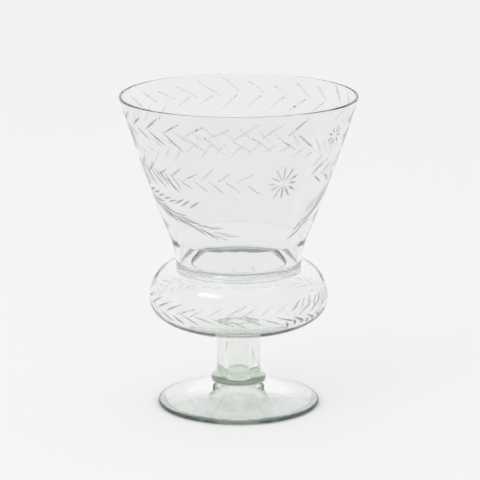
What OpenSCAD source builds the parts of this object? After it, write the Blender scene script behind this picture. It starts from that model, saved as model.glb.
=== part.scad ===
// Footed glass: a flared bowl, a neck ring with a lip inside it, a flattened bulb, a short hollow
// stem, a collar and a cone foot. Each is one gather of glass, and each sits face to face on the
// one below. The foot stands on z = 0, and Z is the axis of the glass.

/* [Bowl] */
// Height of the bowl, from the neck ring to the rim
bowl_h = 72; // [58:1:90]
// Outer diameter of the rim
rim_d = 118; // [96:0.5:142]
// Wall at the rim
rim_wall = 1.4; // [1:0.1:2]
// Outer diameter of the bowl at its base
bowl_base_d = 67.6; // [60:0.2:80]
// Wall at the base of the bowl
bowl_base_wall = 2.2; // [1.6:0.1:3]
// How far the side swells out of a straight cone
bowl_swell = 1; // [0:0.1:3]

/* [Neck ring] */
// Height of the ring, from the bulb to the bowl
neck_ring_h = 14.1; // [11:0.1:17]
// Outer diameter at the crease over the bulb
neck_d = 62.4; // [58:0.2:66]
// How far the outside of the ring curves in from a straight cone
neck_waist = 0.5; // [0:0.1:1]
// Bore from the bowl into the bulb
neck_bore_d = 45.2; // [36:0.2:55]
// Wall of the ring above its lip, which is also the width of the face that sits on the bulb
neck_wall = 2; // [1.6:0.1:3]
// Thickness of the lip round the bore
neck_lip_h = 2.4; // [2:0.1:4]
// Radius that rounds the edge of the lip
neck_lip_r = 1.1; // [0.8:0.1:1.8]
// Radius of the hollow corner between the wall and the lip
neck_fillet = 0.8; // [0.5:0.1:2]

/* [Bulb] */
// Outer diameter of the bulb at its widest
bulb_d = 89; // [74:0.5:107]
// Height from the widest circle up to the crease
bulb_shoulder_h = 16.1; // [13:0.1:20]
// Width of the flat shoulder around the crease
bulb_shoulder_w = 1.6; // [0.5:0.1:2.5]
// Height from the widest circle down to the stem
bulb_belly_h = 15.9; // [13:0.1:20]
// Wall at the widest circle
bulb_wall = 2.2; // [1.6:0.1:3]
// Glass between the crease and the inside of the bulb
bulb_ceiling = 1.8; // [1.5:0.1:3]
// Glass between the stem and the inside of the bulb
bulb_floor = 2.8; // [2:0.1:5]
// Width of the funnel that leads from the floor of the bulb into the bore of the stem
bulb_funnel_w = 7; // [4:0.1:9]

/* [Stem] */
// Height of the stem
stem_h = 21.9; // [18:0.1:27]
// Outer diameter of the stem
stem_d = 21.8; // [18:0.1:26]
// Bore of the stem
stem_bore_d = 10.6; // [8:0.1:13]

/* [Collar] */
// Height of the collar
collar_h = 5.4; // [4.4:0.1:6.6]
// How far the collar bulges past its two faces
collar_bulge = 1.3; // [0.8:0.1:2]

/* [Foot] */
// Height of the foot under the collar
foot_h = 11.6; // [9.5:0.1:14]
// Outer diameter of the foot
foot_d = 81; // [67:0.5:98]
// Thickness of the rounded edge
foot_edge = 2.2; // [1.8:0.1:3]
// Diameter of the face that carries the collar
foot_top_d = 26.8; // [24:0.1:32]
// Glass under the collar, down to the hollow of the foot
foot_web = 4.6; // [3.5:0.1:6]
// Width of the flat ring that stands on the table
foot_ring_w = 3; // [2:0.1:5]
// How far the slope of the foot sags under a straight cone
foot_sag = 0.6; // [0:0.1:1.2]

/* [Hidden] */
$fn = 96;
CURVE_STEPS = 12;
LIP_STEPS = 6;
BELLY_POWER = 0.89;
MOST_ROUND = 0.95;
THROUGH = 1;
clear_glass = [0.86, 0.9, 0.88, 0.45];
green_glass = [0.62, 0.72, 0.65, 0.7];

foot_top_z = foot_h;
collar_top_z = foot_top_z + collar_h;
stem_top_z = collar_top_z + stem_h;
bulb_wide_z = stem_top_z + bulb_belly_h;
crease_z = bulb_wide_z + bulb_shoulder_h;
bowl_base_z = crease_z + neck_ring_h;
rim_z = bowl_base_z + bowl_h;

rim_r = rim_d / 2;
bowl_base_r = bowl_base_d / 2;
bowl_floor_r = bowl_base_r - bowl_base_wall;
neck_r = neck_d / 2;
neck_bore_r = neck_bore_d / 2;
bulb_mouth_r = neck_r - neck_wall;
bulb_r = bulb_d / 2;
stem_r = stem_d / 2;
stem_bore_r = stem_bore_d / 2;
foot_r = foot_d / 2;
foot_top_r = foot_top_d / 2;

// Points from p to q, swollen to the side of the line by a parabola that peaks at bow.
// first is 1 where the point before the list is p already.
function side(p, q, bow, steps, first = 0) =
    [for (i = [first:steps]) let (t = i / steps) p + (q - p) * t + [bow * 4 * t * (1 - t), 0]];

// Points of an ellipse about c, from angle a to angle b, with half axes h across and v up.
// A power under 1 makes it boxier, and first is as in side().
function curve(c, h, v, a, b, steps, first = 0, power = 1) =
    [for (i = [first:steps]) let (w = a + (b - a) * i / steps)
        c + [h * rounded(cos(w), power), v * rounded(sin(w), power)]];

// Keeps the sign of x and raises its size to a power
function rounded(x, power) = sign(x) * pow(abs(x), power);

// Turns a closed outline about the axis of the glass
module turned(outline) {
    rotate_extrude() polygon(outline);
}

module bowl() {
    rim_round = rim_wall / 2;
    rim_c = [rim_r - rim_round, rim_z - rim_round];
    color(clear_glass)
        turned(concat(
            side([bowl_base_r, bowl_base_z], rim_c + [rim_round, 0], bowl_swell, CURVE_STEPS),
            curve(rim_c, rim_round, rim_round, 0, 180, LIP_STEPS, 1),
            side(rim_c - [rim_round, 0], [bowl_floor_r, bowl_base_z], bowl_swell, CURVE_STEPS, 1)));
}

module neck_ring() {
    lip_z = crease_z + neck_lip_h;
    lip_w = bulb_mouth_r - neck_bore_r;
    lip_round = min(neck_lip_r, lip_w / 2, neck_lip_h / 2 * MOST_ROUND);
    lip_r = neck_bore_r + lip_round;
    fillet = min(neck_fillet, lip_w * MOST_ROUND - lip_round);
    color(green_glass)
        turned(concat(
            curve([lip_r, crease_z + lip_round], lip_round, lip_round, 180, 270, LIP_STEPS),
            side([neck_r, crease_z], [bowl_base_r, bowl_base_z], -neck_waist, LIP_STEPS),
            side([bowl_floor_r, bowl_base_z], [bulb_mouth_r, lip_z + fillet], -neck_waist, LIP_STEPS),
            curve([bulb_mouth_r - fillet, lip_z + fillet], fillet, fillet, 0, -90, LIP_STEPS, 1),
            curve([lip_r, lip_z - lip_round], lip_round, lip_round, 90, 180, LIP_STEPS)));
}

module bulb() {
    inside_r = bulb_r - bulb_wall;
    shoulder_r = neck_r + bulb_shoulder_w;
    mouth_round = min(bulb_ceiling, (shoulder_r - bulb_mouth_r) * MOST_ROUND);
    floor_r = stem_bore_r + bulb_funnel_w;
    color(clear_glass)
        turned(concat(
            curve([stem_r, bulb_wide_z], bulb_r - stem_r, bulb_belly_h, -90, 0, CURVE_STEPS,
                power = BELLY_POWER),
            curve([shoulder_r, bulb_wide_z], bulb_r - shoulder_r, bulb_shoulder_h, 0, 90, CURVE_STEPS, 1),
            curve([bulb_mouth_r + mouth_round, crease_z], mouth_round, bulb_ceiling, 180, 270, LIP_STEPS),
            curve([shoulder_r, bulb_wide_z], inside_r - shoulder_r, bulb_shoulder_h - bulb_ceiling,
                90, 0, CURVE_STEPS),
            curve([floor_r, bulb_wide_z], inside_r - floor_r, bulb_belly_h - bulb_floor, 0, -90,
                CURVE_STEPS, 1, BELLY_POWER),
            curve([floor_r, stem_top_z], bulb_funnel_w, bulb_floor, 90, 180, LIP_STEPS, 1)));
}

module stem() {
    color(clear_glass)
        translate([0, 0, collar_top_z])
            difference() {
                cylinder(h = stem_h, r = stem_r);
                translate([0, 0, -THROUGH])
                    cylinder(h = stem_h + 2 * THROUGH, r = stem_bore_r);
            }
}

module collar() {
    color(green_glass)
        turned(concat(
            [[0, collar_top_z], [0, foot_top_z]],
            side([foot_top_r, foot_top_z], [stem_r, collar_top_z], collar_bulge, LIP_STEPS)));
}

module foot() {
    edge_r = foot_edge / 2;
    edge_c = [foot_r - edge_r, edge_r];
    ring_r = edge_c[0] - foot_ring_w;
    hollow_top = [foot_top_r / 2, foot_h - foot_web];
    color(clear_glass)
        turned(concat(
            [[0, foot_h]],
            side([foot_top_r, foot_h], edge_c + [0, edge_r], -foot_sag, CURVE_STEPS),
            curve(edge_c, edge_r, edge_r, 90, -90, LIP_STEPS, 1),
            side([ring_r, 0], hollow_top, -foot_sag, CURVE_STEPS),
            [[0, hollow_top[1]]]));
}

bowl();
neck_ring();
bulb();
stem();
collar();
foot();
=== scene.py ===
"""Footed glass, blown clear and engraved on a wheel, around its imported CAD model.

Six gathers of glass are turned from their outlines, from the bowl down to the foot. The bowl and
the bulb are then cut with wreaths, sprays and flowers, and the stem gets a few tool marks.
Neighbouring gathers are fused, so the two faces between them are kept in the meshes but bend no
light. Lengths are in metres, Z is the axis of the glass, and angles round it are in degrees from
the front.
"""

import logging
import math
from dataclasses import dataclass, field
from enum import Enum

import bpy
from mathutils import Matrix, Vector
from mathutils.bvhtree import BVHTree
from mathutils.interpolate import poly_3d_calc


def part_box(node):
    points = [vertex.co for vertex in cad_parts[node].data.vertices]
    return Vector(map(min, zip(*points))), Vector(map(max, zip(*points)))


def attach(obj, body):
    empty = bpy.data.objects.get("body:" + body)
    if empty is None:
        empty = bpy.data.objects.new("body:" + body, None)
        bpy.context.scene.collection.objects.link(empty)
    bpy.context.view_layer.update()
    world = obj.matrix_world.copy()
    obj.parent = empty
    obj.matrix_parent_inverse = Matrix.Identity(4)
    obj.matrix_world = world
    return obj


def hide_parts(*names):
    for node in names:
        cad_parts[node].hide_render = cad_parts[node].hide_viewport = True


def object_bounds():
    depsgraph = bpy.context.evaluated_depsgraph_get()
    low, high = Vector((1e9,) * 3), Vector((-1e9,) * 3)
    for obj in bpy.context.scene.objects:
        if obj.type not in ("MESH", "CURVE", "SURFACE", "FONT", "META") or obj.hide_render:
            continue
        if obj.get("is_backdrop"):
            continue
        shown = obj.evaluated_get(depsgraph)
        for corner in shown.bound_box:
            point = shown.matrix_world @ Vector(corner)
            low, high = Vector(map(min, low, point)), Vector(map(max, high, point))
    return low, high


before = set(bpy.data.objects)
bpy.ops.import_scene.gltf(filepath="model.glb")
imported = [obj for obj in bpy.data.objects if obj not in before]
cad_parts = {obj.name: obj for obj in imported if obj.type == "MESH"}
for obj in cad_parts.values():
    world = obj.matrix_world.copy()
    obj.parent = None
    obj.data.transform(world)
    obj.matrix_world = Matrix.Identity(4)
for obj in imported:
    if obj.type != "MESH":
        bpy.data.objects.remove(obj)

MM = 0.001
FUSED = "fused"
GROUND = "ground"
# Face attribute of painted shade: how far a face's base colour darkens, in place of the dark line that
# refraction gives rounded edges.
EDGE = "edge"
DRIFT = 2.0
PULL = 0.8
DIP_POWER = 6.0
WELD = 1e-6
RAY_START = 0.1
CUT_GAP = 2e-6

Point = tuple[float, float]
Colour = tuple[float, float, float]

log = logging.getLogger("footed_glass")


class Slot(Enum):
    """Material slots of the record."""

    CLEAR = "clear_glass"
    THICK = "thick_glass"


class Side(Enum):
    """The side of a stem line that a row of leaves grows on."""

    ABOVE = 1.0
    BELOW = -1.0


# ---------------------------------------------------------------- node trees


class NodeBuilder:
    """Adds nodes to a tree and feeds their sockets."""

    def __init__(self, tree: bpy.types.NodeTree) -> None:
        """Keeps the tree that is being built.

        Args:
            tree: The tree that takes the nodes.
        """
        self.tree = tree

    def feed(self, socket: bpy.types.NodeSocket, value: object) -> None:
        """Links a socket to another node's output, or sets its plain value.

        Args:
            socket: The input to feed.
            value: A node, an output socket or a plain value.
        """
        if isinstance(value, bpy.types.Node):
            self.tree.links.new(value.outputs[0], socket)
        elif isinstance(value, bpy.types.NodeSocket):
            self.tree.links.new(value, socket)
        else:
            socket.default_value = value

    def add(self, kind: str, inputs: dict | None = None, **settings: object) -> bpy.types.Node:
        """Adds one node.

        Args:
            kind: The node's type.
            inputs: Values or sources by input name or number.
            settings: Properties of the node.

        Returns:
            The new node.
        """
        node = self.tree.nodes.new(kind)
        for name, value in settings.items():
            setattr(node, name, value)
        for key, value in (inputs or {}).items():
            self.feed(node.inputs[key], value)
        return node

    def math(self, operation: str, *values: object) -> bpy.types.NodeSocket:
        """Adds a Math node.

        Args:
            operation: The node's operation.
            values: What feeds its inputs, in order.

        Returns:
            The node's output.
        """
        return self.add("ShaderNodeMath", dict(enumerate(values)), operation=operation).outputs[0]

    def vector(self, operation: str, *values: object) -> bpy.types.NodeSocket:
        """Adds a Vector Math node.

        Args:
            operation: The node's operation.
            values: What feeds its inputs, in order.

        Returns:
            The node's vector output.
        """
        return self.add("ShaderNodeVectorMath", dict(enumerate(values)), operation=operation).outputs[0]

    def join(self, x: object, y: object, z: object) -> bpy.types.NodeSocket:
        """Makes a vector of three numbers.

        Args:
            x: The first number or its source.
            y: The second number or its source.
            z: The third number or its source.

        Returns:
            The vector output.
        """
        return self.add("ShaderNodeCombineXYZ", {0: x, 1: y, 2: z}).outputs[0]

    def spread(self, value: object, low: float, high: float, to_low: float, to_high: float,
               curve: str = "LINEAR") -> bpy.types.NodeSocket:
        """Maps a number from one range to another.

        Args:
            value: The number or its source.
            low: Start of the range that it has.
            high: End of the range that it has.
            to_low: What the start becomes.
            to_high: What the end becomes.
            curve: The node's interpolation.

        Returns:
            The mapped number.
        """
        inputs = {0: value, 1: low, 2: high, 3: to_low, 4: to_high}
        return self.add("ShaderNodeMapRange", inputs, interpolation_type=curve).outputs[0]


class GeometryTree(NodeBuilder):
    """A Geometry Nodes tree with named inputs, run on an object as a modifier."""

    def __init__(self, name: str, sizes: dict[str, str]) -> None:
        """Starts a tree that takes and gives geometry.

        Args:
            name: Name of the tree.
            sizes: Socket kind of each named input, such as "Float" or "Object".
        """
        super().__init__(bpy.data.node_groups.new(name, "GeometryNodeTree"))
        face = self.tree.interface
        face.new_socket("Geometry", in_out="INPUT", socket_type="NodeSocketGeometry")
        self.sockets = {
            size: face.new_socket(size, in_out="INPUT", socket_type="NodeSocket" + kind).identifier
            for size, kind in sizes.items()
        }
        face.new_socket("Geometry", in_out="OUTPUT", socket_type="NodeSocketGeometry")
        self.inputs = self.add("NodeGroupInput").outputs

    def finish(self, geometry: object) -> None:
        """Feeds the tree's output.

        Args:
            geometry: The node or socket with the finished geometry.
        """
        self.add("NodeGroupOutput", {0: geometry})

    def put_on(self, holder: bpy.types.Object, values: dict[str, object]) -> None:
        """Adds the tree to an object as a modifier and sets its inputs.

        Args:
            holder: The object that takes the modifier.
            values: A value for each named input.
        """
        modifier = holder.modifiers.new(self.tree.name, "NODES")
        modifier.node_group = self.tree
        for size, value in values.items():
            modifier[self.sockets[size]] = value


def turning_tree() -> GeometryTree:
    """Builds the tree that turns an outline into a closed shell.

    The outline is a ring of points in the XZ plane, and a point's fused and edge values tell of
    the stretch that starts there; the edge value is how much painted shade its faces get. A slow
    noise moves the glass a little, as blown glass is never quite round, and a slight pull towards
    the axis keeps the whole of it within its box.

    Returns:
        The tree.
    """
    tree = GeometryTree("turned_glass", {
        "Segments": "Int", "Reach": "Float", "Top": "Float", "Wobble": "Float",
        "Rim Dip": "Float", "Material": "Material"})
    sizes = tree.inputs
    count = tree.add("GeometryNodeAttributeDomainSize", {0: sizes["Geometry"]}).outputs[0]
    around = tree.math("ADD", sizes["Segments"], 1.0)
    grid = tree.add("GeometryNodeMeshGrid", {
        "Vertices X": tree.math("ADD", count, 1.0), "Vertices Y": around})
    index = tree.add("GeometryNodeInputIndex").outputs[0]

    ring = tree.math("FLOOR", tree.math("DIVIDE", tree.math("ADD", index, 0.5), around))
    turn = tree.math("SUBTRACT", index, tree.math("MULTIPLY", ring, around))
    angle = tree.math("MULTIPLY", tree.math("DIVIDE", turn, sizes["Segments"]), math.tau)
    place = tree.add("GeometryNodeSampleIndex", {
        0: sizes["Geometry"], 1: tree.add("GeometryNodeInputPosition"),
        2: tree.math("FLOORED_MODULO", ring, count)}, data_type="FLOAT_VECTOR")
    at = tree.add("ShaderNodeSeparateXYZ", {0: place}).outputs
    shell = tree.add("GeometryNodeSetPosition", {0: grid, 2: tree.join(
        tree.math("MULTIPLY", at[0], tree.math("COSINE", angle)),
        tree.math("MULTIPLY", at[0], tree.math("SINE", angle)), at[2])})

    strip = tree.math("FLOOR", tree.math(
        "DIVIDE", tree.math("ADD", index, 0.5), sizes["Segments"]))
    # Carries the fused flags and the painted shade of the edge values from the stretches to the faces.
    for label in (FUSED, EDGE):
        flag = tree.add("GeometryNodeInputNamedAttribute", {0: label}, data_type="FLOAT").outputs[0]
        flags = tree.add("GeometryNodeSampleIndex", {0: sizes["Geometry"], 1: flag, 2: strip},
                         data_type="FLOAT")
        shell = tree.add("GeometryNodeStoreNamedAttribute", {0: shell, 2: label, 3: flags},
                         data_type="FLOAT", domain="FACE")
    shell = tree.add("GeometryNodeStoreNamedAttribute", {0: shell, 2: GROUND, 3: 0.0},
                     data_type="FLOAT", domain="FACE")
    shell = tree.add("GeometryNodeMergeByDistance", {0: shell, 2: WELD})
    faces = tree.add("GeometryNodeInputMeshEdgeNeighbors").outputs[0]
    shell = tree.add("GeometryNodeDeleteGeometry", {0: shell, 1: tree.math("LESS_THAN", faces, 0.5)},
                     domain="EDGE", mode="EDGE_FACE")

    here = tree.add("GeometryNodeInputPosition").outputs[0]
    noise = tree.add("ShaderNodeTexNoise", {
        "Vector": here, "Scale": 14.0, "Detail": 1.0, "Roughness": 0.4}).outputs[1]
    drift = tree.vector("SUBTRACT", noise, (0.5, 0.5, 0.5))
    drift = tree.vector("MULTIPLY", drift, tree.join(DRIFT, DRIFT, 0.0))
    pull = tree.math("DIVIDE", -PULL, sizes["Reach"])
    inward = tree.vector("MULTIPLY", here, tree.join(pull, pull, 0.0))
    shift = tree.add("ShaderNodeVectorMath", {
        0: tree.vector("ADD", drift, inward), "Scale": sizes["Wobble"]}, operation="SCALE").outputs[0]
    height = tree.math("DIVIDE", tree.add("ShaderNodeSeparateXYZ", {0: here}).outputs[2], sizes["Top"])
    dip = tree.math("MULTIPLY", tree.math("POWER", height, DIP_POWER), sizes["Rim Dip"])
    level = tree.add("ShaderNodeTexNoise", {
        "Vector": here, "Scale": 11.0, "Detail": 0.0}).outputs[0]
    dip = tree.math("MULTIPLY", dip, tree.math("MULTIPLY", level, -1.0))
    shell = tree.add("GeometryNodeSetPosition", {
        0: shell, 3: tree.vector("ADD", shift, tree.join(0.0, 0.0, dip))})

    shell = tree.add("GeometryNodeFlipFaces", {0: shell})
    shell = tree.add("GeometryNodeTriangulate", {0: shell})
    shell = tree.add("GeometryNodeRealizeInstances", {0: shell})
    tree.finish(tree.add("GeometryNodeSetMaterial", {0: shell, 2: sizes["Material"]}))
    return tree


def cut_with_wheel(tree: GeometryTree, points: object, turn: object, height: object,
                   heading: object, size: object) -> None:
    """Ends a tree that engraves: sets a cut on the wall at each point and takes it out.

    Args:
        tree: The tree, with the inputs Blank, Wheel and Material.
        points: Geometry with one point for each cut.
        turn: Angle of each cut's centre round the axis, in radians from the front.
        height: Height of each cut's centre.
        heading: Angle of each cut from level, in radians.
        size: Length, width and depth of each cut.
    """
    sizes = tree.inputs
    across = tree.join(tree.math("SINE", turn),
                       tree.math("MULTIPLY", tree.math("COSINE", turn), -1.0), 0.0)
    level = tree.join(tree.math("COSINE", turn), tree.math("SINE", turn), 0.0)
    start = tree.vector("ADD", tree.vector("MULTIPLY", across, (RAY_START, RAY_START, 0.0)),
                        tree.join(0.0, 0.0, height))
    blank = tree.add("GeometryNodeObjectInfo", {0: sizes["Blank"]}, transform_space="RELATIVE")
    hit = tree.add("GeometryNodeRaycast", {
        0: blank.outputs["Geometry"], "Source Position": start,
        "Ray Direction": tree.vector("MULTIPLY", across, (-1.0, -1.0, 0.0)), "Ray Length": RAY_START})
    outward = hit.outputs["Hit Normal"]
    up = tree.vector("CROSS_PRODUCT", outward, level)
    along = tree.vector(
        "ADD",
        tree.add("ShaderNodeVectorMath", {0: level, "Scale": tree.math("COSINE", heading)},
                 operation="SCALE"),
        tree.add("ShaderNodeVectorMath", {0: up, "Scale": tree.math("SINE", heading)},
                 operation="SCALE"))
    turned = tree.add("FunctionNodeAxesToRotation", {0: outward, 1: along},
                      primary_axis="Z", secondary_axis="X")
    placed = tree.add("GeometryNodeSetPosition", {0: points, 2: hit.outputs["Hit Position"]})
    wheel = tree.add("GeometryNodeObjectInfo", {0: sizes["Wheel"]}, transform_space="RELATIVE")
    reach = tree.add("ShaderNodeSeparateXYZ", {0: tree.add("GeometryNodeInputPosition")}).outputs[0]
    fall = tree.math("DIVIDE", tree.math("MULTIPLY", tree.math("POWER", sizes["Length"], 2.0),
                                         sizes["Bend"]), tree.math("MULTIPLY", sizes["Depth"], -2.0))
    bent = tree.add("GeometryNodeSetPosition", {0: wheel.outputs["Geometry"], 3: tree.join(
        0.0, 0.0, tree.math("MULTIPLY", tree.math("MULTIPLY", reach, reach), fall))})
    cuts = tree.add("GeometryNodeInstanceOnPoints", {
        0: placed, 2: bent, "Rotation": turned, "Scale": size})
    wall = tree.add("GeometryNodeMeshBoolean", {0: sizes["Geometry"], 1: cuts},
                    operation="DIFFERENCE", solver="MANIFOLD")
    whole = tree.add("GeometryNodeRealizeInstances", {0: wall})
    tree.finish(tree.add("GeometryNodeSetMaterial", {0: whole, 2: sizes["Material"]}))


CUT_SIZES = {
    "Blank": "Object", "Wheel": "Object", "Material": "Material", "Seed": "Int", "Count": "Int",
    "Start": "Float", "Height": "Float", "Radius": "Float", "Length": "Float", "Width": "Float",
    "Depth": "Float", "Bend": "Float", "Unevenness": "Float"}


def wreath_tree() -> GeometryTree:
    """Builds the tree that cuts a row of leaves along one side of a stem line.

    The stem line runs round the wall and may climb or fall. Each leaf starts on it and leans
    away from it.

    Returns:
        The tree.
    """
    tree = GeometryTree("wreath_cuts", CUT_SIZES | {
        "Sweep": "Float", "Rise": "Float", "Side": "Float", "Lean": "Float"})
    sizes = tree.inputs
    points = tree.add("GeometryNodeMeshLine", {"Count": sizes["Count"]})
    index = tree.add("GeometryNodeInputIndex").outputs[0]
    share = tree.math("DIVIDE", index, sizes["Count"])
    turn = tree.math("ADD", sizes["Start"], tree.math("MULTIPLY", sizes["Sweep"], share))
    stem = tree.math("ADD", sizes["Height"], tree.math("MULTIPLY", sizes["Rise"], share))
    slope = tree.math("ARCTANGENT", tree.math("DIVIDE", sizes["Rise"], tree.math(
        "MULTIPLY", sizes["Sweep"], sizes["Radius"])))
    chance = {"ID": index, "Seed": sizes["Seed"]}
    low = tree.math("MULTIPLY", sizes["Unevenness"], -1.0)
    uneven = tree.add("FunctionNodeRandomValue", {2: low, 3: sizes["Unevenness"]} | chance,
                      data_type="FLOAT").outputs[1]
    heading = tree.math("ADD", slope, tree.math("MULTIPLY", tree.math(
        "ADD", sizes["Lean"], uneven), sizes["Side"]))
    grown = tree.math("ADD", 1.0, uneven)
    length = tree.math("MULTIPLY", sizes["Length"], grown)
    half = tree.math("MULTIPLY", length, 0.5)
    turn = tree.math("ADD", turn, tree.math("DIVIDE", tree.math(
        "MULTIPLY", half, tree.math("COSINE", heading)), sizes["Radius"]))
    height = tree.math("ADD", stem, tree.math("MULTIPLY", half, tree.math("SINE", heading)))
    size = tree.join(length, tree.math("MULTIPLY", sizes["Width"], grown), sizes["Depth"])
    cut_with_wheel(tree, points, turn, height, heading, size)
    return tree


def flower_tree() -> GeometryTree:
    """Builds the tree that cuts the petals of one flower.

    Returns:
        The tree.
    """
    tree = GeometryTree("flower_cuts", CUT_SIZES | {"Heart": "Float"})
    sizes = tree.inputs
    points = tree.add("GeometryNodeMeshLine", {"Count": sizes["Count"]})
    index = tree.add("GeometryNodeInputIndex").outputs[0]
    step = tree.math("DIVIDE", math.tau, sizes["Count"])
    low = tree.math("MULTIPLY", sizes["Unevenness"], -1.0)
    uneven = tree.add("FunctionNodeRandomValue", {
        2: low, 3: sizes["Unevenness"], "ID": index, "Seed": sizes["Seed"]},
        data_type="FLOAT").outputs[1]
    toward = tree.math("ADD", tree.math("MULTIPLY", index, step), uneven)
    length = tree.math("MULTIPLY", sizes["Length"], tree.math("ADD", 1.0, uneven))
    reach = tree.math("ADD", sizes["Heart"], tree.math("MULTIPLY", length, 0.5))
    turn = tree.math("ADD", sizes["Start"], tree.math("DIVIDE", tree.math(
        "MULTIPLY", reach, tree.math("COSINE", toward)), sizes["Radius"]))
    height = tree.math("ADD", sizes["Height"], tree.math(
        "MULTIPLY", reach, tree.math("SINE", toward)))
    size = tree.join(length, sizes["Width"], sizes["Depth"])
    cut_with_wheel(tree, points, turn, height, toward, size)
    return tree


# ---------------------------------------------------------------- finishes


@dataclass(frozen=True)
class GlassFinish:
    """Blown glass, green through its thickness, with cords, ground cuts and painted shade on its edges."""

    name: str
    absorbed: Colour
    density: float
    shade: float
    tint: Colour = (0.995, 1.0, 0.996)
    # Colour of the painted shade on rounded edges, in place of the dark line that refraction gives them.
    painted_edge_shade: Colour = (0.1, 0.13, 0.115)
    ripple: float = 0.05
    polish: float = 0.004
    ground: float = 0.08
    ior: float = 1.5

    def material(self) -> bpy.types.Material:
        """Builds the material.

        Returns:
            The material.
        """
        made = bpy.data.materials.new(self.name)
        made.use_nodes = True
        made.node_tree.nodes.clear()
        tree = NodeBuilder(made.node_tree)
        place = tree.add("ShaderNodeTexCoord").outputs["Object"]
        fused = tree.add("ShaderNodeAttribute", attribute_name=FUSED).outputs["Fac"]
        ground = tree.add("ShaderNodeAttribute", attribute_name=GROUND).outputs["Fac"]
        open_face = tree.math("SUBTRACT", 1.0, fused)

        cords = tree.add("ShaderNodeTexNoise", {
            "Vector": tree.add("ShaderNodeMapping", {0: place, "Scale": (1.0, 1.0, 3.2)}),
            "Scale": 38.0, "Detail": 2.0, "Roughness": 0.45, "Distortion": 0.6})
        grit = tree.add("ShaderNodeTexNoise", {
            "Vector": place, "Scale": 2600.0, "Detail": 2.0, "Roughness": 0.6})
        relief = tree.math("ADD", tree.math("MULTIPLY", cords, self.ripple),
                           tree.math("MULTIPLY", tree.math("MULTIPLY", grit, ground), 0.02))
        bump = tree.add("ShaderNodeBump", {
            "Strength": 1.0, "Distance": 0.002,
            "Height": tree.math("MULTIPLY", relief, open_face)})

        smear = tree.add("ShaderNodeTexNoise", {
            "Vector": place, "Scale": 60.0, "Detail": 3.0, "Roughness": 0.6})
        polish = tree.spread(smear, 0.45, 0.75, self.polish, self.polish * 4.0)
        matt = tree.spread(grit, 0.3, 0.7, self.ground * 0.7, self.ground)
        matt = tree.math("MULTIPLY", ground, matt)
        rough = tree.math("MULTIPLY", tree.math("ADD", polish, matt), open_face)

        # Painted shade: faces with an edge value have their base colour pulled towards the dark green edge
        # colour, in place of refraction's dark line.
        edge = tree.add("ShaderNodeAttribute", attribute_name=EDGE).outputs["Fac"]
        tone = tree.spread(smear, 0.3, 0.7, self.shade * 0.99, self.shade)
        shader = tree.add("ShaderNodeBsdfPrincipled", {
            "Base Color": tree.join(*(
                tree.math("MULTIPLY", tree.math("MULTIPLY", tone, kept),
                          tree.spread(edge, 0.0, 1.0, 1.0, left))
                for kept, left in zip(self.tint, self.painted_edge_shade))),
            "Roughness": rough, "Normal": bump, "Transmission Weight": 1.0,
            "IOR": tree.spread(fused, 0.0, 1.0, self.ior, 1.0)})
        depth = tree.add("ShaderNodeVolumeAbsorption", {
            "Color": (*self.absorbed, 1.0), "Density": self.density})
        tree.add("ShaderNodeOutputMaterial", {"Surface": shader, "Volume": depth})
        return made


@dataclass(frozen=True)
class TableFinish:
    """Matt white table top."""

    name: str = "white_table"
    shade: float = 0.88

    def material(self) -> bpy.types.Material:
        """Builds the material.

        Returns:
            The material.
        """
        made = bpy.data.materials.new(self.name)
        made.use_nodes = True
        made.node_tree.nodes.clear()
        tree = NodeBuilder(made.node_tree)
        place = tree.add("ShaderNodeTexCoord").outputs["Object"]
        cloud = tree.add("ShaderNodeTexNoise", {"Vector": place, "Scale": 3.0, "Detail": 2.0})
        grain = tree.add("ShaderNodeTexNoise", {"Vector": place, "Scale": 900.0, "Detail": 1.0})
        tone = tree.spread(cloud, 0.3, 0.7, self.shade * 0.997, self.shade)
        shader = tree.add("ShaderNodeBsdfPrincipled", {
            "Base Color": tree.join(tone, tone, tree.math("MULTIPLY", tone, 0.998)),
            "Roughness": tree.spread(grain, 0.0, 1.0, 0.75, 0.85), "Specular IOR Level": 0.2,
            "Normal": tree.add("ShaderNodeBump", {
                "Strength": 0.05, "Distance": 0.0002, "Height": grain})})
        tree.add("ShaderNodeOutputMaterial", {"Surface": shader})
        return made


# ---------------------------------------------------------------- outlines


def side(start: Point, end: Point, bow: float, steps: int) -> list[Point]:
    """Runs from one point to another, swollen outwards by a parabola.

    Args:
        start: First point, as radius and height.
        end: Last point.
        bow: Height of the swelling, half way.
        steps: Number of steps.

    Returns:
        The points, both ends among them.
    """
    shares = [i / steps for i in range(steps + 1)]
    return [(start[0] + (end[0] - start[0]) * t + bow * 4 * t * (1 - t),
             start[1] + (end[1] - start[1]) * t) for t in shares]


def curve(centre: Point, across: float, up: float, first: float, last: float, steps: int,
          power: float = 1.0) -> list[Point]:
    """Runs along an ellipse.

    Args:
        centre: Centre of the ellipse, as radius and height.
        across: Half axis across.
        up: Half axis up.
        first: Angle of the first point, in degrees.
        last: Angle of the last point, in degrees.
        steps: Number of steps.
        power: Under 1 makes the curve boxier.

    Returns:
        The points, both ends among them.
    """

    def eased(x: float) -> float:
        """Raises the size of x to the power and keeps its sign."""
        return math.copysign(abs(x) ** power, x) if abs(x) > 1e-9 else 0.0

    angles = [math.radians(first + (last - first) * i / steps) for i in range(steps + 1)]
    return [(centre[0] + across * eased(math.cos(a)), centre[1] + up * eased(math.sin(a)))
            for a in angles]


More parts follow.
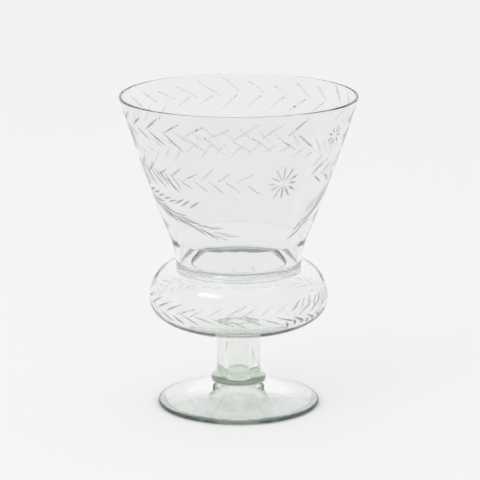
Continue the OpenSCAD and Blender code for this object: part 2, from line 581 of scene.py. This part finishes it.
@dataclass
class Outline:
    """Half of a gather's section, as a closed ring of stretches."""

    points: list[Point] = field(default_factory=list)
    fused: list[float] = field(default_factory=list)
    # Painted shade of each stretch, from 0 to 1.
    edge: list[float] = field(default_factory=list)

    def run(self, points: list[Point], fused: bool = False, edge: float = 0.0) -> None:
        """Adds a stretch, which starts where the ring has got to.

        Args:
            points: The stretch. Its last point is where the next one starts.
            fused: Whether it is a face against the next gather.
            edge: Painted shade on the stretch, from 0 to 1, where refraction darkens a rounded edge.
        """
        self.points.extend(points[:-1])
        self.fused.extend([float(fused)] * (len(points) - 1))
        self.edge.extend([edge] * (len(points) - 1))

    def seed(self, name: str) -> bpy.types.Object:
        """Makes the object that the turning tree works on.

        Args:
            name: Name of the object.

        Returns:
            An object with the ring of points in the XZ plane.
        """
        area = sum(p[0] * q[1] - q[0] * p[1]
                   for p, q in zip(self.points, self.points[1:] + self.points[:1]))
        points, values = self.points, {FUSED: self.fused, EDGE: self.edge}
        if area < 0:
            points = points[:1] + points[:0:-1]
            values = {label: told[::-1] for label, told in values.items()}
        mesh = bpy.data.meshes.new(name)
        mesh.from_pydata([(r, 0.0, z) for r, z in points], [], [])
        for label, told in values.items():
            mesh.attributes.new(label, "FLOAT", "POINT").data.foreach_set("value", told)
        holder = bpy.data.objects.new(name, mesh)
        bpy.context.scene.collection.objects.link(holder)
        return holder


def plain_mesh(holder: bpy.types.Object) -> bpy.types.Mesh:
    """Turns an object with its modifiers into a plain mesh.

    Args:
        holder: The object.

    Returns:
        A new mesh with no modifiers to run.
    """
    graph = bpy.context.evaluated_depsgraph_get()
    return bpy.data.meshes.new_from_object(holder.evaluated_get(graph))


# ---------------------------------------------------------------- engraving


@dataclass(frozen=True)
class Wreath:
    """A row of wheel-cut leaves along one side of a stem line. Lengths are in millimetres."""

    height: float
    leaves: int
    side: Side
    start: float = 0.0
    sweep: float = 360.0
    rise: float = 0.0
    lean: float = 33.0
    length: float = 12.0
    width: float = 1.0
    depth: float = 0.1
    unevenness: float = 0.16


@dataclass(frozen=True)
class Flower:
    """A ring of wheel-cut petals. Lengths are in millimetres."""

    turn: float
    height: float
    petals: int = 8
    length: float = 4.5
    width: float = 0.9
    depth: float = 0.035
    heart: float = 1.2
    unevenness: float = 0.06


@dataclass
class Engraver:
    """Cuts rows of leaves and flowers into a blank, and keeps the polish between them."""

    stations: int = 8
    wheel: bpy.types.Object | None = None
    wreaths: GeometryTree | None = None
    flowers: GeometryTree | None = None

    def set_up(self) -> None:
        """Makes the wheel's cut and the trees that place it."""
        self.wreaths = wreath_tree()
        self.flowers = flower_tree()
        self.wheel = self.wheel_cut()

    def wheel_cut(self) -> bpy.types.Object:
        """Makes the lens that one touch of the wheel takes out, one unit long, wide and deep.

        Returns:
            The object, with the wall's surface at its height 0.
        """
        half = [(-0.8, 0.6), (-0.5, 0.0), (-0.3, -0.55)]
        section = half + [(0.0, -1.0)] + [(-y, z) for y, z in reversed(half)]
        rings: list[list[tuple[float, float, float]]] = []
        for i in range(1, self.stations):
            t = 2.0 * i / self.stations - 1.0
            full = 1.0 - t * t
            rings.append([(t / 2, y * full, z * full if z < 0 else z) for y, z in section])
        points = [(-0.56, 0.0, 0.3)] + [p for ring in rings for p in ring] + [(0.56, 0.0, 0.3)]
        width = len(section)
        faces: list[tuple[int, ...]] = []
        for i in range(len(rings) - 1):
            for j in range(width):
                a = 1 + i * width + j
                b = 1 + i * width + (j + 1) % width
                faces.append((a, a + width, b + width, b))
        last = len(points) - 1
        for j in range(width):
            k = (j + 1) % width
            faces.append((0, 1 + j, 1 + k))
            faces.append((last, last - width + k, last - width + j))
        mesh = bpy.data.meshes.new("wheel_cut")
        mesh.from_pydata(points, [], faces)
        flags = mesh.attributes.new(GROUND, "FLOAT", "FACE")
        flags.data.foreach_set("value", [1.0] * len(mesh.polygons))
        holder = bpy.data.objects.new("wheel_cut", mesh)
        bpy.context.scene.collection.objects.link(holder)
        return holder

    def cut(self, blank: bpy.types.Object, design: list, radius: float, profile: float,
            base: float, material: bpy.types.Material) -> bpy.types.Mesh:
        """Engraves a blank.

        Args:
            blank: The uncut shell.
            design: The wreaths and flowers, with heights in millimetres above base.
            radius: Radius of the wall, which turns widths into angles.
            profile: Radius of the wall's section, or infinity where it is straight.
            base: Height that the design's heights start from.
            material: The finish of the result.

        Returns:
            The engraved mesh.
        """
        work = bpy.data.objects.new(blank.name + "_work", blank.data.copy())
        bpy.context.scene.collection.objects.link(work)
        for number, row in enumerate(design):
            values = {
                "Blank": blank, "Wheel": self.wheel, "Material": material, "Seed": number,
                "Height": base + row.height * MM, "Radius": radius, "Length": row.length * MM,
                "Width": row.width * MM, "Depth": row.depth * MM, "Unevenness": row.unevenness}
            if isinstance(row, Wreath):
                lean = math.radians(row.lean)
                self.wreaths.put_on(work, values | {
                    "Count": row.leaves, "Start": math.radians(row.start),
                    "Sweep": math.radians(row.sweep), "Rise": row.rise * MM,
                    "Side": row.side.value, "Lean": lean,
                    "Bend": math.cos(lean) ** 2 / radius + math.sin(lean) ** 2 / profile})
            else:
                self.flowers.put_on(work, values | {
                    "Count": row.petals, "Start": math.radians(row.turn),
                    "Heart": row.heart * MM, "Bend": (1 / radius + 1 / profile) / 2})
        mesh = plain_mesh(work)
        bpy.data.objects.remove(work)
        self.restore_polish(mesh, blank.data)
        return mesh

    def restore_polish(self, mesh: bpy.types.Mesh, blank: bpy.types.Mesh) -> None:
        """Marks the cuts, and gives the wall between them its smooth normals back.

        Args:
            mesh: The engraved mesh.
            blank: The uncut mesh.
        """
        tree = BVHTree.FromPolygons([v.co for v in blank.vertices],
                                    [tuple(p.vertices) for p in blank.polygons])
        flags = mesh.attributes[GROUND].data
        normals = [Vector((0.0, 0.0, 1.0))] * len(mesh.loops)
        soft = [Vector((0.0, 0.0, 0.0)) for _ in mesh.vertices]
        cut_faces = []
        for face in mesh.polygons:
            near, _, _, gap = tree.find_nearest(face.center)
            ground = gap > CUT_GAP
            flags[face.index].value = float(ground)
            face.use_smooth = True
            if ground:
                cut_faces.append(face)
                for vertex in face.vertices:
                    soft[vertex] += face.normal * face.area
                continue
            for loop in face.loop_indices:
                spot = mesh.vertices[mesh.loops[loop].vertex_index].co
                inner = spot.lerp(face.center, 0.02)
                near, _, number, _ = tree.find_nearest(inner)
                below = blank.polygons[number]
                corners = [blank.vertices[v].co for v in below.vertices]
                weights = poly_3d_calc(corners, near)
                normal = Vector((0.0, 0.0, 0.0))
                for weight, corner in zip(weights, below.loop_indices):
                    normal += blank.corner_normals[corner].vector * weight
                normals[loop] = normal.normalized()
        for face in cut_faces:
            for loop in face.loop_indices:
                normals[loop] = soft[mesh.loops[loop].vertex_index].normalized()
        mesh.normals_split_custom_set(normals)


# ---------------------------------------------------------------- gathers


@dataclass
class Gather:
    """One gather of glass, turned about the axis. Lengths are in millimetres."""

    node: str
    slot: Slot
    finish: GlassFinish
    segments: int = 224
    wobble: float = 0.3
    rim_dip: float = 0.5
    fused_gap: float = 0.01
    crease: float = 32.0
    design: list = field(default_factory=list)

    @property
    def low(self) -> float:
        """Height of the gather's lowest point, in millimetres."""
        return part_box(self.node)[0][2] / MM

    @property
    def high(self) -> float:
        """Height of the gather's highest point, in millimetres."""
        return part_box(self.node)[1][2] / MM

    @property
    def reach(self) -> float:
        """Largest radius of the gather, in millimetres."""
        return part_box(self.node)[1][0] / MM

    @property
    def bends(self) -> tuple[float, float]:
        """Radius of the wall round the axis, and of its section, in millimetres."""
        return self.reach, math.inf

    def outline(self) -> Outline:
        """Gives half of the gather's section. Each gather has its own."""
        raise NotImplementedError

    def blank(self, tree: GeometryTree, material: bpy.types.Material,
              whole: list[float]) -> bpy.types.Object:
        """Turns the outline into a shell.

        Args:
            tree: The turning tree.
            material: The finish.
            whole: The upper corner of the box of the whole glass.

        Returns:
            An object with a plain mesh.
        """
        drawn = self.outline()
        drawn.points = [(r * MM, z * MM) for r, z in drawn.points]
        holder = drawn.seed(self.node + "_glass")
        tree.put_on(holder, {
            "Segments": self.segments, "Reach": whole[0], "Top": whole[2],
            "Wobble": self.wobble * MM, "Rim Dip": self.rim_dip * MM, "Material": material})
        mesh = plain_mesh(holder)
        holder.modifiers.clear()
        holder.data = mesh
        mesh.polygons.foreach_set("use_smooth", [True] * len(mesh.polygons))
        mesh.set_sharp_from_angle(angle=math.radians(self.crease))
        return holder

    def engrave(self, piece: bpy.types.Object, engraver: Engraver,
                material: bpy.types.Material) -> None:
        """Cuts the gather's design. A plain gather has none.

        Args:
            piece: The uncut piece.
            engraver: The engraver.
            material: The finish.
        """
        if self.design:
            radius, profile = self.bends
            piece.data = engraver.cut(
                piece, self.design, radius * MM, profile * MM, self.low * MM, material)

    def dress(self, piece: bpy.types.Object) -> None:
        """Puts the piece in its node's place.

        Args:
            piece: The finished piece.
        """
        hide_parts(self.node)
        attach(piece, "root")


@dataclass
class Bowl(Gather):
    """Flared bowl with a rounded rim."""

    rim_wall: float = 1.4
    base_r: float = 33.8
    base_wall: float = 2.2
    swell: float = 1.0

    @property
    def bends(self) -> tuple[float, float]:
        """Radius of the wall half way up, and of its section, in millimetres."""
        return (self.base_r + self.reach) / 2, math.inf

    def outline(self) -> Outline:
        """Gives half of the bowl's section.

        Returns:
            The closed outline, in millimetres.
        """
        base = self.low + self.fused_gap
        edge = self.rim_wall / 2
        rim = (self.reach - edge, self.high - edge)
        drawn = Outline()
        drawn.run(side((self.base_r, base), (rim[0] + edge, rim[1]), self.swell, 56))
        drawn.run(curve(rim, edge, edge, 0, 180, 12))
        drawn.run(side((rim[0] - edge, rim[1]), (self.base_r - self.base_wall, base), self.swell, 56))
        drawn.run([(self.base_r - self.base_wall, base), (self.base_r, base)], fused=True)
        return drawn


@dataclass
class NeckRing(Gather):
    """Ring between the bowl and the bulb, with a rounded lip inside it."""

    neck_r: float = 31.2
    base_wall: float = 2.2
    waist: float = 0.5
    bore_r: float = 22.6
    wall: float = 2.0
    lip_h: float = 2.4
    lip_r: float = 1.1
    fillet: float = 0.8

    def outline(self) -> Outline:
        """Gives half of the ring's section.

        Returns:
            The closed outline, in millimetres.
        """
        bottom = self.low + self.fused_gap
        top = self.high - self.fused_gap
        lip_top = self.low + self.lip_h
        lip_x = self.bore_r + self.lip_r
        mouth_r = self.neck_r - self.wall
        corner = (mouth_r - self.fillet, lip_top + self.fillet)
        drawn = Outline()
        # Painted shade on the lip's underside, in place of refraction's dark ring.
        drawn.run(curve((lip_x, bottom + self.lip_r), self.lip_r, self.lip_r, 180, 270, 10), edge=0.3)
        drawn.run(side((lip_x, bottom), (mouth_r, bottom), 0.0, 4))
        drawn.run([(mouth_r, bottom), (self.neck_r, bottom)], fused=True)
        drawn.run(side((self.neck_r, bottom), (self.reach, top), -self.waist, 16))
        drawn.run([(self.reach, top), (self.reach - self.base_wall, top)], fused=True)
        drawn.run(side((self.reach - self.base_wall, top), (mouth_r, corner[1]), -self.waist, 12))
        drawn.run(curve(corner, self.fillet, self.fillet, 0, -90, 12))
        drawn.run(side((corner[0], lip_top), (lip_x, lip_top), 0.0, 4))
        # Painted shade, darkest on the lip's top and strong on the bore, for the dark ring that refraction
        # shows.
        drawn.run(curve((lip_x, lip_top - self.lip_r), self.lip_r, self.lip_r, 90, 180, 10), edge=1.0)
        drawn.run([(self.bore_r, lip_top - self.lip_r), (self.bore_r, bottom + self.lip_r)], edge=0.6)
        return drawn


@dataclass
class Bulb(Gather):
    """Flattened hollow bulb, open into the bowl and the stem."""

    neck_r: float = 31.2
    mouth_r: float = 29.2
    stem_r: float = 10.9
    stem_bore_r: float = 5.3
    shoulder_w: float = 1.6
    wide: float = 15.9
    wall: float = 2.2
    ceiling: float = 1.8
    floor: float = 2.8
    funnel_w: float = 7.0
    boxy: float = 0.89

    @property
    def bends(self) -> tuple[float, float]:
        """Radius of the widest circle, and of the section there, in millimetres."""
        return self.reach, self.wide

    def outline(self) -> Outline:
        """Gives half of the bulb's section.

        Returns:
            The closed outline, in millimetres.
        """
        bottom = self.low + self.fused_gap
        top = self.high - self.fused_gap
        wide = self.low + self.wide
        inside = self.reach - self.wall
        shoulder_r = self.neck_r + self.shoulder_w
        floor_r = self.stem_bore_r + self.funnel_w
        drawn = Outline()
        drawn.run(curve((self.stem_r, wide), self.reach - self.stem_r, wide - bottom, -90, 0, 32, self.boxy))
        drawn.run(curve((shoulder_r, wide), self.reach - shoulder_r, top - wide, 0, 90, 28))
        drawn.run([(shoulder_r, top), (self.neck_r, top)])
        drawn.run([(self.neck_r, top), (self.mouth_r, top)], fused=True)
        drawn.run(curve((self.mouth_r + self.ceiling, top), self.ceiling, self.ceiling, 180, 270, 16))
        drawn.run([(self.mouth_r + self.ceiling, top - self.ceiling), (shoulder_r, top - self.ceiling)])
        drawn.run(curve((shoulder_r, wide), inside - shoulder_r, top - self.ceiling - wide, 90, 0, 28))
        drawn.run(curve((floor_r, wide), inside - floor_r, wide - bottom - self.floor, 0, -90, 32,
                        self.boxy))
        drawn.run(curve((floor_r, bottom), self.funnel_w, self.floor, 90, 180, 20))
        drawn.run([(self.stem_bore_r, bottom), (self.stem_r, bottom)], fused=True)
        return drawn


@dataclass
class Stem(Gather):
    """Short hollow stem, with a few tool marks."""

    bore_r: float = 5.3

    def outline(self) -> Outline:
        """Gives half of the stem's section.

        Returns:
            The closed outline, in millimetres.
        """
        bottom = self.low + self.fused_gap
        top = self.high - self.fused_gap
        drawn = Outline()
        drawn.run([(self.bore_r, bottom), (self.reach, bottom)], fused=True)
        drawn.run(side((self.reach, bottom), (self.reach, top), 0.0, 24))
        drawn.run([(self.reach, top), (self.bore_r, top)], fused=True)
        drawn.run(side((self.bore_r, top), (self.bore_r, bottom), 0.0, 24))
        return drawn


@dataclass
class Collar(Gather):
    """Solid collar that joins the stem to the foot."""

    stem_r: float = 10.9
    bore_r: float = 5.3
    foot_r: float = 13.4
    bulge: float = 1.3

    def outline(self) -> Outline:
        """Gives half of the collar's section.

        Returns:
            The closed outline, in millimetres.
        """
        bottom = self.low + self.fused_gap
        top = self.high - self.fused_gap
        drawn = Outline()
        drawn.run([(0.0, bottom), (self.foot_r, bottom)], fused=True)
        drawn.run(side((self.foot_r, bottom), (self.stem_r, top), self.bulge, 16))
        drawn.run([(self.stem_r, top), (self.bore_r, top)], fused=True)
        drawn.run(side((self.bore_r, top), (0.0, top), 0.0, 4))
        drawn.run([(0.0, top), (0.0, bottom)])
        return drawn


@dataclass
class Foot(Gather):
    """Spreading foot, hollow underneath, with a rounded edge."""

    edge: float = 2.2
    top_r: float = 13.4
    web: float = 4.6
    ring_w: float = 3.0
    sag: float = 0.6

    def outline(self) -> Outline:
        """Gives half of the foot's section.

        Returns:
            The closed outline, in millimetres.
        """
        top = self.high - self.fused_gap
        round_r = self.edge / 2
        edge = (self.reach - round_r, self.low + round_r)
        ring = (edge[0] - self.ring_w, self.low)
        hollow = (self.top_r / 2, self.high - self.web)
        drawn = Outline()
        drawn.run([(0.0, top), (self.top_r, top)], fused=True)
        drawn.run(side((self.top_r, top), (edge[0], edge[1] + round_r), -self.sag, 32))
        drawn.run(curve(edge, round_r, round_r, 90, 50, 5))
        # Painted shade on the rounded edge: a dark green line, in place of what refraction does there.
        drawn.run(curve(edge, round_r, round_r, 50, -90, 10), edge=1.0)
        drawn.run([(edge[0], self.low), ring])
        drawn.run(side(ring, hollow, -self.sag, 32))
        drawn.run(side(hollow, (0.0, hollow[1]), 0.0, 4))
        drawn.run([(0.0, hollow[1]), (0.0, top)])
        return drawn


# ---------------------------------------------------------------- studio


@dataclass
class Studio:
    """White table, softbox, walls of light and the camera."""

    table_r: float = 6.0
    table_gap: float = 0.0001
    table_steps: int = 96
    camera_at: tuple[float, float, float] = (0.0007, -1.267, 0.3945)
    camera_down: float = 13.796
    lens: float = 197.05
    box_way: tuple[float, float, float] = (-0.53, -0.49, 0.69)
    box_far: float = 1.6
    box_size: tuple[float, float] = (0.8, 0.4)
    box_power: float = 2.0
    wall_front: float = 0.88
    wall_back: float = 1.02
    wall_foot: float = 0.98
    roof: float = 1.1

    def stand_camera(self) -> None:
        """Adds the camera."""
        camera = bpy.data.objects.new("camera", bpy.data.cameras.new("camera"))
        camera.data.lens = self.lens
        camera.data.clip_end = 100.0
        camera.location = self.camera_at
        camera.rotation_euler = (math.radians(90.0 - self.camera_down), 0.0, 0.0)
        bpy.context.scene.collection.objects.link(camera)
        bpy.context.scene.camera = camera

    def lay_table(self, finish: TableFinish) -> None:
        """Adds the table top.

        Args:
            finish: The table's finish.
        """
        steps = self.table_steps
        angles = [math.tau * i / steps for i in range(steps)]
        rim = [(self.table_r * math.cos(a), self.table_r * math.sin(a), -self.table_gap) for a in angles]
        mesh = bpy.data.meshes.new("table")
        mesh.from_pydata(rim, [], [tuple(range(steps))])
        mesh.materials.append(finish.material())
        table = bpy.data.objects.new("table", mesh)
        bpy.context.scene.collection.objects.link(table)
        table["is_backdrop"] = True

    def hang_softbox(self) -> None:
        """Adds the softbox, over the glass and to its left."""
        lamp = bpy.data.lights.new("softbox", "AREA")
        lamp.shape = "RECTANGLE"
        lamp.size, lamp.size_y = self.box_size
        lamp.energy = self.box_power
        box = bpy.data.objects.new("softbox", lamp)
        way = Vector(self.box_way).normalized()
        box.location = way * self.box_far
        box.rotation_euler = way.to_track_quat("Z", "Y").to_euler()
        bpy.context.scene.collection.objects.link(box)

    def light_walls(self) -> None:
        """Adds the walls of light: brightest overhead, and a little darker in front."""
        world = bpy.data.worlds.new("studio")
        bpy.context.scene.world = world
        world.use_nodes = True
        world.node_tree.nodes.clear()
        tree = NodeBuilder(world.node_tree)
        way = tree.add("ShaderNodeTexCoord").outputs["Generated"]
        at = tree.add("ShaderNodeSeparateXYZ", {0: way}).outputs
        behind = tree.spread(at[1], -0.1, 0.85, 0.0, 1.0, "SMOOTHSTEP")
        middle = tree.spread(behind, 0.0, 1.0, self.wall_front, self.wall_back)
        rise = tree.spread(at[2], 0.1, 0.36, 0.0, 1.0, "SMOOTHSTEP")
        low = tree.add("ShaderNodeMix", {0: rise, 2: self.wall_foot, 3: middle},
                       data_type="FLOAT").outputs[0]
        roof = tree.spread(at[2], 0.7, 0.9, 0.0, 1.0, "SMOOTHSTEP")
        whole = tree.add("ShaderNodeMix", {0: roof, 2: low, 3: self.roof},
                         data_type="FLOAT").outputs[0]
        glow = tree.add("ShaderNodeBackground", {"Strength": whole})
        glow.inputs["Color"].default_value = (1.0, 1.0, 1.0, 1.0)
        tree.add("ShaderNodeOutputWorld", {"Surface": glow})

    def set_up(self) -> None:
        """Sets the view transform and bounces, and adds the table, softbox and walls of light."""
        scene = bpy.context.scene
        scene.view_settings.view_transform = "Standard"
        scene.cycles.max_bounces = 32
        scene.cycles.glossy_bounces = 16
        scene.cycles.transmission_bounces = 32
        scene.cycles.blur_glossy = 0.0
        self.lay_table(TableFinish())
        self.hang_softbox()
        self.light_walls()


# ---------------------------------------------------------------- the glass


FAINT = {"depth": 0.045, "width": 0.8}
RIM_ROW = {"height": 61.0}
MIDDLE_ROW = {"height": 38.0, "lean": 36.0, "length": 10.5}

BOWL_DESIGN = [
    Wreath(leaves=19, side=Side.ABOVE, start=72.0, sweep=247.0, **RIM_ROW),
    Wreath(leaves=6, side=Side.ABOVE, start=-41.0, sweep=78.0, **RIM_ROW, **FAINT),
    Wreath(leaves=4, side=Side.BELOW, start=76.0, sweep=52.0, **RIM_ROW),
    Wreath(leaves=8, side=Side.BELOW, start=128.0, sweep=104.0, **RIM_ROW, **FAINT),
    Wreath(leaves=9, side=Side.BELOW, start=232.0, sweep=98.0, depth=0.16, **RIM_ROW),
    Wreath(leaves=6, side=Side.BELOW, start=-30.0, sweep=72.0, **RIM_ROW, **FAINT),
    Flower(turn=58.0, height=57.0, petals=9, length=4.2),
    Wreath(leaves=26, side=Side.ABOVE, start=45.0, sweep=272.0, **MIDDLE_ROW),
    Wreath(leaves=27, side=Side.BELOW, start=49.0, sweep=284.0, depth=0.16, **MIDDLE_ROW),
    Wreath(leaves=5, side=Side.ABOVE, start=-43.0, sweep=52.0, **MIDDLE_ROW, **FAINT),
    Wreath(leaves=4, side=Side.BELOW, start=-27.0, sweep=40.0, **MIDDLE_ROW, **FAINT),
    Flower(turn=27.0, height=36.5, petals=12, length=6.8, width=1.0, heart=1.6),
    Wreath(height=45.0, leaves=13, side=Side.BELOW, start=-100.0, sweep=62.0, rise=-5.0, lean=48.0,
           length=10.0, depth=0.14),
    Wreath(height=30.0, leaves=12, side=Side.ABOVE, start=-96.0, sweep=66.0, rise=-9.0, lean=34.0,
           length=9.0),
    Wreath(height=27.0, leaves=13, side=Side.BELOW, start=-84.0, sweep=70.0, rise=-18.0, lean=16.0,
           length=10.0, depth=0.15),
    Wreath(height=25.0, leaves=11, side=Side.ABOVE, start=-78.0, sweep=72.0, rise=-17.0, lean=12.0,
           length=11.0),
    Wreath(height=17.0, leaves=10, side=Side.ABOVE, start=52.0, sweep=44.0, rise=12.0, lean=50.0,
           length=9.0),
    Wreath(height=9.0, leaves=7, side=Side.BELOW, start=46.0, sweep=40.0, rise=18.0, lean=-24.0,
           length=9.0, depth=0.14),
    Wreath(height=5.0, leaves=5, side=Side.ABOVE, start=42.0, sweep=40.0, rise=24.0, lean=0.0,
           length=11.0, depth=0.14),
]

BULB_DESIGN = [
    Wreath(height=15.5, leaves=34, side=Side.ABOVE, lean=26.0, length=12.5),
    Wreath(height=15.5, leaves=34, side=Side.BELOW, start=4.0, lean=26.0, length=12.5, depth=0.15),
    Wreath(height=18.0, leaves=11, side=Side.ABOVE, start=38.0, sweep=66.0, lean=58.0, length=6.0,
           width=1.3, depth=0.16),
    Wreath(height=14.0, leaves=12, side=Side.BELOW, start=32.0, sweep=70.0, lean=64.0, length=5.0,
           width=1.3, depth=0.16),
]

MARK = {"leaves": 1, "sweep": 1.0, "width": 0.8, "depth": 0.36}

STEM_DESIGN = [
    Wreath(height=10.5, side=Side.ABOVE, start=-36.0, lean=76.0, length=6.5, **MARK),
    Wreath(height=13.0, side=Side.BELOW, start=38.0, lean=80.0, length=7.5, **MARK),
    Wreath(height=12.5, side=Side.BELOW, start=68.0, lean=84.0, length=3.5, **MARK),
]


def main() -> None:
    """Blows, engraves and lights the glass."""
    logging.basicConfig(level=logging.INFO, format="%(message)s")
    cad_box = [list(corner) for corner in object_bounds()]
    studio = Studio()
    studio.stand_camera()
    thin = GlassFinish("thin_glass", absorbed=(0.83, 0.86, 0.83), density=18.0, shade=0.95)
    clear = GlassFinish("clear_glass", absorbed=(0.83, 0.86, 0.83), density=20.0, shade=0.968)
    thick = GlassFinish("thick_glass", absorbed=(0.79, 0.86, 0.76), density=85.0, shade=0.98)
    turning = turning_tree()
    engraver = Engraver()
    engraver.set_up()
    gathers = [
        Bowl("bowl", Slot.CLEAR, thin, design=BOWL_DESIGN),
        NeckRing("neck_ring", Slot.THICK, clear),
        Bulb("bulb", Slot.CLEAR, clear, design=BULB_DESIGN),
        Stem("stem", Slot.CLEAR, clear, design=STEM_DESIGN),
        Collar("collar", Slot.THICK, thick),
        Foot("foot", Slot.CLEAR, clear),
    ]
    materials = {finish.name: finish.material() for finish in (thin, clear, thick)}
    made = []
    for gather in gathers:
        material = materials[gather.finish.name]
        made.append((gather, gather.blank(turning, material, cad_box[1]), material))
    for gather, piece, material in made:
        gather.engrave(piece, engraver, material)
        gather.dress(piece)
        log.info("%s: %d faces", piece.name, len(piece.data.polygons))
    bpy.data.objects.remove(engraver.wheel)
    studio.set_up()


if __name__ == "__main__":
    main()
